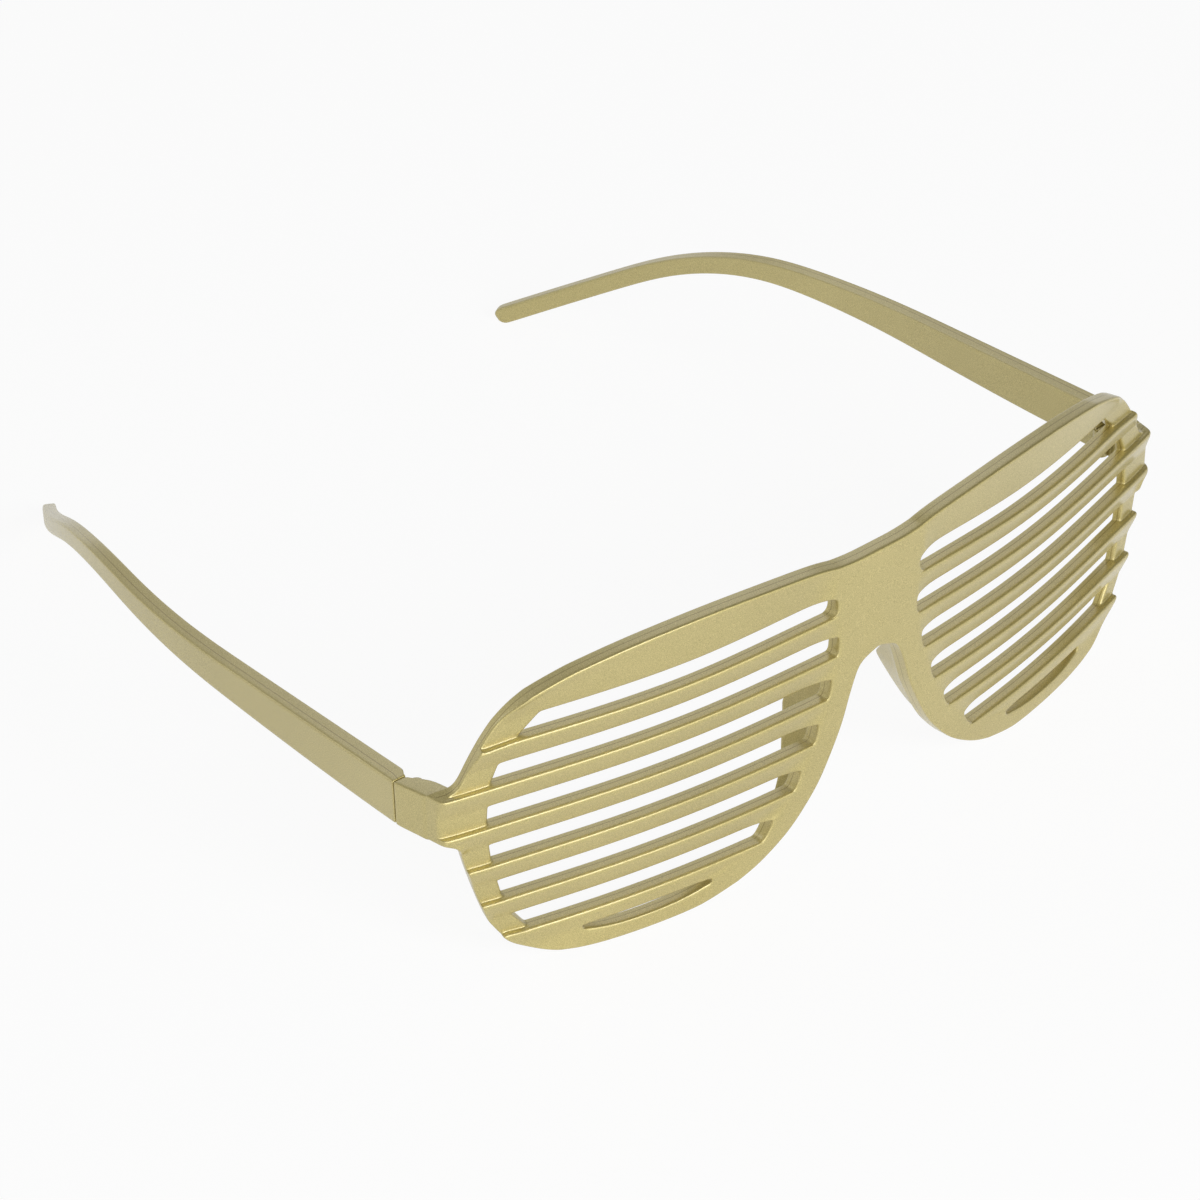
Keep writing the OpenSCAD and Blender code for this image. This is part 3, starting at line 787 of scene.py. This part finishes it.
def temple_rings():
    """Run, squeeze and shrink of every ring from the root to the tip."""
    ear_end = EAR_RUN + ARC_RUN
    runs = ROOT_RUNS + list(np.linspace(EVEN_FROM, ear_end, 12))
    runs += list(np.linspace(ear_end, TIP_RUN, 5)[1:-1])
    rings = [(s, 1, 1) for s in runs] + [(TIP_RUN - left, 1, width) for left, width in BEFORE_TIP]
    for angle, width in TIP_ROUND:
        t = math.radians(angle)
        rings.append((TIP_RUN + TIP_H / 2 * math.sin(t), math.cos(t), width))
    return rings


def temple(side, body, name, replaced):
    """A temple on one side: -1 is left and 1 is right."""
    bm = bmesh.new()
    place_mark, seam_mark = bm.verts.layers.int.new("place"), bm.verts.layers.float.new("depth")
    circle = bmesh.ops.create_circle(bm, segments=len(SECTION), radius=1, cap_ends=True)["verts"]
    circle.sort(key=lambda v: math.atan2(v.co.y, v.co.x))
    first, *others = temple_rings()
    for n, (v, spot) in enumerate(zip(circle, ring_places(*first))):
        v[place_mark], v[seam_mark] = n, SECTION[n][1]
        v.co = spot
    root = bm.faces[:]
    edges = bm.edges[:]
    for ring in others:
        made = bmesh.ops.extrude_edge_only(bm, edges=edges)["geom"]
        places = ring_places(*ring)
        fresh = set(picked(made, bmesh.types.BMVert))
        for v in fresh:
            v.co = places[v[place_mark]]
        edges = [e for e in picked(made, bmesh.types.BMEdge) if all(v in fresh for v in e.verts)]
    tip = bmesh.ops.edgeloop_fill(bm, edges=edges)["faces"]
    for caps, width in ((root, 0.35), (tip, 0.1)):
        bmesh.ops.inset_region(bm, faces=caps, thickness=width, use_even_offset=True)
    if side < 0:
        bmesh.ops.scale(bm, vec=(-1, 1, 1), verts=bm.verts[:])
    bmesh.ops.recalc_face_normals(bm, faces=bm.faces[:])
    print(name, "cage faces", len(bm.faces), "open edges", sum(e.is_boundary for e in bm.edges))
    piece = set_down(bm, name, body, replaced)
    round_off(piece)
    return piece


left_temple = temple(-1, "temple_left", "left_temple", "temple_left")
right_temple = temple(1, "temple_right", "right_temple", "temple_right")

# %% [markdown]
# The paint is a pale gold lacquer with fine metal flakes, sprayed over everything before the glasses
# were put together. A flake is far smaller than a millimetre, so its pattern is a very fine noise
# that shifts the colour a little and tilts the metal a little, under a clear coat that stays smooth.
# The parting line of the mould runs along all walls. Its depth is a number on the mesh's points, and
# the shader draws a thin dark line where that number is right.

# %% Paint
def srgb(r, g, b):
    """A colour as read off a screen, made linear for the shader."""
    linear = [((c / 255 + 0.055) / 1.055) ** 2.4 if c > 10 else c / 3294.6 for c in (r, g, b)]
    return (*linear, 1.0)


def node(tree, kind, **settings):
    """A new shader node with its inputs or its settings filled in."""
    made = tree.nodes.new("ShaderNode" + kind)
    for name, value in settings.items():
        if name in made.inputs:
            made.inputs[name].default_value = value
        else:
            setattr(made, name, value)
    return made


def ramp_node(tree, value, from_min, from_max, to_min, to_max):
    """Maps a value from one range to another, with a soft start and end."""
    made = node(tree, "MapRange", interpolation_type="SMOOTHSTEP")
    made.inputs["From Min"].default_value, made.inputs["From Max"].default_value = from_min, from_max
    made.inputs["To Min"].default_value, made.inputs["To Max"].default_value = to_min, to_max
    tree.links.new(value, made.inputs["Value"])
    return made.outputs["Result"]


def gold_paint(name, light, dark, roughness, metallic, seam=None):
    """The lacquer. A seam is the depth at which the mould's line runs, and half its width."""
    material = bpy.data.materials.new(name)
    material.use_nodes = True
    tree = material.node_tree
    shader = tree.nodes["Principled BSDF"]
    shader.inputs["Metallic"].default_value = metallic
    shader.inputs["Roughness"].default_value = roughness
    shader.inputs["Coat Weight"].default_value = 1.0
    shader.inputs["Coat Roughness"].default_value = 0.22
    shader.inputs["Coat IOR"].default_value = 1.62
    link = tree.links.new
    place = node(tree, "TexCoord")
    flake = node(tree, "TexNoise", Scale=8000.0, Detail=2.0, Roughness=0.7)
    cloud = node(tree, "TexNoise", Scale=45.0, Detail=2.0, Roughness=0.5)
    for texture in (flake, cloud):
        link(place.outputs["Object"], texture.inputs["Vector"])
    # The flakes make nearly all of the pattern, and the clouds a slow change over it.
    mixed = node(tree, "Math", operation="MULTIPLY_ADD")
    mixed.inputs[1].default_value = 0.12
    link(cloud.outputs["Fac"], mixed.inputs[0])
    link(flake.outputs["Fac"], mixed.inputs[2])
    ramp = node(tree, "ValToRGB")
    low, high = ramp.color_ramp.elements
    low.position, high.position = 0.38, 0.72
    low.color, high.color = dark, light
    link(mixed.outputs[0], ramp.inputs["Fac"])
    colour = ramp.outputs["Color"]
    if seam is not None:
        depth = node(tree, "Attribute", attribute_name="depth")
        on_seam = node(tree, "Math", operation="COMPARE")
        on_seam.inputs[1].default_value, on_seam.inputs[2].default_value = seam
        link(depth.outputs["Fac"], on_seam.inputs[0])
        line = node(tree, "Mix", data_type="RGBA", blend_type="MULTIPLY")
        line.inputs["B"].default_value = (0.68, 0.63, 0.54, 1)
        link(on_seam.outputs[0], line.inputs["Factor"])
        link(colour, line.inputs["A"])
        colour = line.outputs["Result"]
    link(colour, shader.inputs["Base Color"])
    bump = node(tree, "Bump", Strength=0.25, Distance=0.00003)
    link(flake.outputs["Fac"], bump.inputs["Height"])
    link(bump.outputs["Normal"], shader.inputs["Normal"])
    return material


# %% [markdown]
# The front and the temples share one paint, and only the place of the mould's line differs. On the
# front it is given as a depth in millimetres, on a temple as a share of its thickness. The hinges
# keep their CAD meshes and get a slightly darker and shinier coat of the same lacquer, without a
# line, because metal isn't moulded in two halves like the plastic.

# %% Paint the pieces
light_gold, dark_gold = srgb(222, 208, 142), srgb(176, 162, 98)
ROUGHNESS, METALLIC = 0.52, 0.8
FRONT_SEAM, TEMPLE_SEAM = (1.6, 0.09), (0.4, 0.035)
front_paint = gold_paint("front_paint", light_gold, dark_gold, ROUGHNESS, METALLIC, FRONT_SEAM)
temple_paint = gold_paint("temple_paint", light_gold, dark_gold, ROUGHNESS, METALLIC, TEMPLE_SEAM)
for piece, paint in ((front, front_paint), (left_temple, temple_paint), (right_temple, temple_paint)):
    piece.data.materials.clear()
    piece.data.materials.append(paint)
leaf_paint = gold_paint("hinge_paint", srgb(206, 192, 128), srgb(160, 147, 88), 0.42, 0.85)
for name in ("hinge_front_leaf", "hinge_temple_leaf", "hinge_screw"):
    for side in ("_left", "_right"):
        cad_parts[name + side].data.materials.clear()
        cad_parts[name + side].data.materials.append(leaf_paint)
print("light gold", [round(c, 3) for c in light_gold], "dark gold", [round(c, 3) for c in dark_gold])

# %% [markdown]
# The glasses stand on a white table. To the camera the table shines almost as plain white, and in
# reflections it gives half of that, so the metal in the paint sees it too. The rest is a matt
# surface that the lamps light, so the glasses' shadow stays on it.

# %% Table
bm = bmesh.new()
bmesh.ops.create_grid(bm, x_segments=8, y_segments=8, size=3)
table_mesh = bpy.data.meshes.new("table")
bm.to_mesh(table_mesh)
bm.free()
table = bpy.data.objects.new("table", table_mesh)
bpy.context.collection.objects.link(table)
cloth = bpy.data.materials.new("table_white")
cloth.use_nodes = True
tree = cloth.node_tree
matt = tree.nodes["Principled BSDF"]
matt.inputs["Base Color"].default_value = (0.95, 0.95, 0.95, 1)
matt.inputs["Roughness"].default_value = 0.9
matt.inputs["Specular IOR Level"].default_value = 0.0
table_mesh.materials.append(cloth)


def seen_share(tree, to_camera, in_reflections):
    """The share of plain white that a ray gets, for the camera and for glossy and clear rays."""
    path = node(tree, "LightPath")
    largest = node(tree, "Math", operation="MAXIMUM")
    tree.links.new(path.outputs["Is Glossy Ray"], largest.inputs[0])
    tree.links.new(path.outputs["Is Transmission Ray"], largest.inputs[1])
    reflected = node(tree, "Math", operation="MULTIPLY")
    reflected.inputs[1].default_value = in_reflections
    tree.links.new(largest.outputs[0], reflected.inputs[0])
    total = node(tree, "Math", operation="MULTIPLY_ADD")
    total.inputs[1].default_value = to_camera
    tree.links.new(path.outputs["Is Camera Ray"], total.inputs[0])
    tree.links.new(reflected.outputs[0], total.inputs[2])
    return total.outputs[0]


white = node(tree, "Emission", Color=(1, 1, 1, 1), Strength=1.0)
both = node(tree, "MixShader")
tree.links.new(seen_share(tree, 0.92, 0.5), both.inputs[0])
tree.links.new(matt.outputs[0], both.inputs[1])
tree.links.new(white.outputs[0], both.inputs[2])
tree.links.new(both.outputs[0], tree.nodes["Material Output"].inputs["Surface"])
print("table nodes", len(tree.nodes))

# %% [markdown]
# Behind the table the room is brighter, like a pale wall that ends high up. The rest is dim, and
# dimmer to the right, so that the right side of the glasses keeps its contrast. Low down, all
# round, the room is plain white to the camera and in reflections, so it joins the table without a
# horizon. The world's background does all this, because a wall that is built would add light and
# shadow of its own.

# %% The room
world = bpy.data.worlds.new("room")
bpy.context.scene.world = world
world.use_nodes = True
tree = world.node_tree
sky = tree.nodes["Background"]
sky.inputs["Color"].default_value = (1, 1, 1, 1)
toward = node(tree, "SeparateXYZ")
tree.links.new(node(tree, "TexCoord").outputs["Object"], toward.inputs[0])
wall = ramp_node(tree, toward.outputs["Y"], 0.1, 0.6, 0.0, 0.35)
wall_top = ramp_node(tree, toward.outputs["Z"], 0.6, 0.9, 1.0, 0.0)
room = node(tree, "Math", operation="MULTIPLY_ADD")
tree.links.new(wall, room.inputs[0])
tree.links.new(wall_top, room.inputs[1])
tree.links.new(ramp_node(tree, toward.outputs["X"], 0.0, 0.7, 0.22, 0.05), room.inputs[2])
foot = node(tree, "Math", operation="MULTIPLY")
tree.links.new(ramp_node(tree, toward.outputs["Z"], 0.05, 0.3, 1.0, 0.0), foot.inputs[0])
tree.links.new(seen_share(tree, 1.0, 1.0), foot.inputs[1])
brightness = node(tree, "Math", operation="MAXIMUM")
tree.links.new(room.outputs[0], brightness.inputs[0])
tree.links.new(foot.outputs[0], brightness.inputs[1])
tree.links.new(brightness.outputs[0], sky.inputs["Strength"])
print("room nodes", len(tree.nodes))

# %% [markdown]
# The key lamp is large and stands in front on the left, so the soft shadow falls to the back and
# the right. A second soft lamp in front draws the bright line along the ridges and edges. Two weak
# ones behind lift the far edges and the tops. The camera has the place and the viewing angle that
# the photograph was taken with.

# %% Lamps and camera
LAMP_AIM = (0, -0.03, 0.02)


def soft_lamp(name, place, size, power):
    """A round soft lamp that points at the glasses."""
    lamp = bpy.data.lights.new(name, "AREA")
    lamp.shape, lamp.size, lamp.energy = "DISK", size, power
    made = bpy.data.objects.new(name, lamp)
    bpy.context.collection.objects.link(made)
    made.location = place
    made.rotation_euler = (Vector(LAMP_AIM) - Vector(place)).to_track_quat("-Z", "Y").to_euler()


soft_lamp("key", (-0.45, -0.8, 0.5), 0.7, 3.2)
soft_lamp("edges", (0.03, -0.87, 0.52), 0.4, 3.9)
soft_lamp("back", (0.53, 0.61, 0.6), 0.45, 0.4)
soft_lamp("back_left", (-0.55, 0.6, 0.5), 0.22, 0.4)

camera_data = bpy.data.cameras.new("camera")
camera_data.sensor_width, camera_data.lens = 36, 108
camera = bpy.data.objects.new("camera", camera_data)
bpy.context.collection.objects.link(camera)
CAMERA_AT = Vector((-0.317784, -0.377637, 0.357983))
azimuth, elevation, roll = math.radians(-41.01234), math.radians(35.94777), math.radians(0.36027)
look = -Vector((math.sin(azimuth) * math.cos(elevation), -math.cos(azimuth) * math.cos(elevation),
                math.sin(elevation)))
turn = look.to_track_quat("-Z", "Y").to_matrix().to_4x4()
camera.matrix_world = Matrix.Translation(CAMERA_AT) @ turn @ Matrix.Rotation(roll, 4, "Z")
camera_data.clip_start, camera_data.clip_end = 0.01, 10
bpy.context.scene.camera = camera
bpy.context.scene.view_settings.view_transform = "Standard"
print("camera to the middle of the table", round(CAMERA_AT.length, 3), "m")

# %% [markdown]
# Last, the scene is brought up to date.

# %% Update the scene
bpy.context.view_layer.update()
